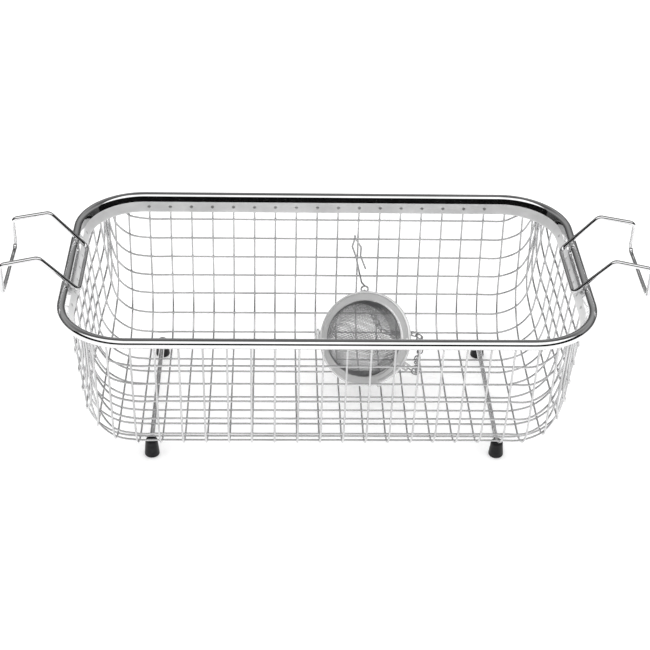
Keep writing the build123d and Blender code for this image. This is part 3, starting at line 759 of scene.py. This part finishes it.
# ---------------------------------------------------------------------------
# Strainer cloth, woven over and under
# ---------------------------------------------------------------------------
front_low, front_high = node_box("strainer_cloth_front")
back_low, back_high = node_box("strainer_cloth_back")
normal = np.array([
    -math.sin(STRAINER_TURN) * math.cos(STRAINER_LEAN),
    -math.cos(STRAINER_TURN) * math.cos(STRAINER_LEAN),
    math.sin(STRAINER_LEAN),
])
right = np.array([math.cos(STRAINER_TURN), -math.sin(STRAINER_TURN), 0.0])
up = np.cross(normal, right)
strainer_centre = (np.minimum(front_low, back_low) + np.maximum(front_high, back_high)) / 2


def cloth(side):
    """Half a sphere of wires, in two families that pass over and under each other."""
    weave = Builder()
    step = CLOTH_PITCH / CLOTH_RADIUS
    limit = math.floor(math.pi / 2 / step)
    for family in (0, 1):
        for k in range(-limit, limit):
            held = math.sin((k + 0.5) * step)
            span = 1.0 - held**2 - (CLOTH_BASE / CLOTH_RADIUS) ** 2
            if span < CLOTH_LEAST_SPAN:
                continue
            end = math.asin(math.sqrt(span))
            runs = np.linspace(-end, end, max(9, 2 * math.floor(2 * end / step) + 1))
            across = np.sin(runs)
            height = np.sqrt(np.maximum(1.0 - held**2 - across**2, 0.0))
            first_side = (1 if family else -1) * (-1) ** k
            wave = first_side * CLOTH_WAVE * np.sin(math.pi * runs / step)
            local = np.stack([np.full_like(runs, held), across, side * height], 1)
            if family:
                local = local[:, [1, 0, 2]]
            local *= (CLOTH_RADIUS + wave)[:, None]
            route = strainer_centre + local @ np.stack([right, up, normal])
            weave.tube(route, CLOTH_WIRE / 2, CLOTH_SIDES)
    return weave


def paint_edge_shade(piece):
    """Painted shade: the steep edge of a dome gets a darker material than its crown, standing in for the
    collar's shadow and the dense cloth seen edge on.
    """
    piece.data.materials.append(cloth_painted_shade)
    count = len(piece.data.polygons)
    centres = np.empty(count * 3)
    piece.data.polygons.foreach_get("center", centres)
    places = centres.reshape(count, 3) / MM - strainer_centre
    out = places - np.outer(places @ normal, normal)
    edge = np.linalg.norm(out, axis=1) > CLOTH_PAINTED_SHADE_FROM * CLOTH_RADIUS
    piece.data.polygons.foreach_set("material_index", edge.astype(np.int32))


for end, side in (("front", 1), ("back", -1)):
    dome = cloth(side).piece(
        f"strainer_weave_{end}",
        cloth_steel,
        f"strainer_{end}",
        replaces=(f"strainer_cloth_{end}",),
        slot="strainer_cloth",
    )
    # Paint shade on the dome's steep edge
    paint_edge_shade(dome)

# ---------------------------------------------------------------------------
# CAD nodes that stay
# ---------------------------------------------------------------------------
finishes = {
    "support_rod_left": rod_steel,
    "support_rod_right": rod_steel,
    "foot_front_left": foot_rubber,
    "foot_front_right": foot_rubber,
    "foot_rear_left": foot_rubber,
    "foot_rear_right": foot_rubber,
    "hanging_hook": hook_steel,
    "chain_upper": hook_steel,
    "chain_middle": hook_steel,
    "chain_lower": hook_steel,
    "strainer_ring_back": satin,
    "strainer_ring_front": satin,
    "strainer_hinge_pin": hook_steel,
    "strainer_latch": satin,
    "latch_rivet": bright_wire,
}
for name, material in finishes.items():
    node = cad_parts[name]
    node.data.materials.clear()
    node.data.materials.append(material)

# ---------------------------------------------------------------------------
# Floor, light and camera
# ---------------------------------------------------------------------------
floor_mesh = bpy.data.meshes.new("floor")
floor_corners = [(x * FLOOR_REACH, y * FLOOR_REACH, 0) for x, y in ((-1, -1), (1, -1), (1, 1), (-1, 1))]
floor_mesh.from_pydata(floor_corners, [], [(0, 1, 2, 3)])
floor_nodes = Nodes("floor_white")
floor_nodes.set(Roughness=0.85)
floor_tone = floor_nodes.ramp(floor_nodes.noise(40.0, 2.0), [(0.3, 0.93), (0.7, 0.96)])
floor_nodes.link(floor_tone, floor_nodes.shader.inputs["Base Color"])
floor_nodes.link(floor_tone, floor_nodes.shader.inputs["Emission Color"])
floor_nodes.set(Emission_Strength=FLOOR_GLOW)
floor_mesh.materials.append(floor_nodes.material)
floor = bpy.data.objects.new("floor", floor_mesh)
bpy.context.scene.collection.objects.link(floor)

world = bpy.data.worlds.new("studio")
bpy.context.scene.world = world
world.use_nodes = True
tree = world.node_tree
background = tree.nodes["Background"]
direction = tree.nodes.new("ShaderNodeTexCoord").outputs["Generated"]
split = tree.nodes.new("ShaderNodeSeparateXYZ")
tree.links.new(direction, split.inputs["Vector"])


def arithmetic(operation, first, second=None):
    """A math node's result from sockets or plain numbers."""
    node = tree.nodes.new("ShaderNodeMath")
    node.operation = operation
    for socket, value in zip(node.inputs, (first, second)):
        if isinstance(value, float):
            socket.default_value = value
        elif value is not None:
            tree.links.new(value, socket)
    return node.outputs["Value"]


forward = arithmetic("MULTIPLY", split.outputs["Y"], -1.0)
squares = [arithmetic("POWER", split.outputs[axis], 2.0) for axis in "XY"]
flat = arithmetic("SQRT", arithmetic("ADD", *squares))
level_reach = arithmetic("MULTIPLY", flat, arithmetic("SIGN", forward))
elevation = arithmetic("ARCTAN2", split.outputs["Z"], level_reach)
share = tree.nodes.new("ShaderNodeMapRange")
share.inputs["From Min"].default_value = -math.pi
share.inputs["From Max"].default_value = math.pi
tree.links.new(elevation, share.inputs["Value"])
ramp = tree.nodes.new("ShaderNodeValToRGB")
while len(ramp.color_ramp.elements) < len(STUDIO_RAMP):
    ramp.color_ramp.elements.new(0.5)
for element, (degrees, shade) in zip(ramp.color_ramp.elements, STUDIO_RAMP):
    element.position = (degrees + 180) / 360
    element.color = (shade, shade, shade, 1.0)
tree.links.new(share.outputs["Result"], ramp.inputs["Fac"])
glossy = tree.nodes.new("ShaderNodeLightPath").outputs["Is Glossy Ray"]
mix = tree.nodes.new("ShaderNodeMix")
mix.data_type = "RGBA"
mix.inputs["A"].default_value = (1.0, 1.0, 1.0, 1.0)
tree.links.new(glossy, mix.inputs["Factor"])
tree.links.new(ramp.outputs["Color"], mix.inputs["B"])
tree.links.new(mix.outputs["Result"], background.inputs["Color"])
background.inputs["Strength"].default_value = STUDIO_STRENGTH

look = Vector((0, math.cos(CAMERA_PITCH), -math.sin(CAMERA_PITCH)))
level = Vector((1, 0, 0))
over = level.cross(look)
turned_right = level * math.cos(CAMERA_ROLL) + over * math.sin(CAMERA_ROLL)
turned_up = over * math.cos(CAMERA_ROLL) - level * math.sin(CAMERA_ROLL)
turn = Matrix((turned_right, turned_up, -look)).transposed().to_4x4()
camera_data = bpy.data.cameras.new("camera")
camera_data.lens = CAMERA_LENS
camera_data.sensor_width = CAMERA_SENSOR
camera_data.clip_start = 0.01
camera = bpy.data.objects.new("camera", camera_data)
bpy.context.scene.collection.objects.link(camera)
camera.matrix_world = (
    Matrix.Translation(Vector(CAMERA_PLACE) * MM) @ Matrix.Rotation(-CAMERA_YAW, 4, "Z") @ turn
)
bpy.context.scene.camera = camera
bpy.context.scene.view_settings.view_transform = "Standard"
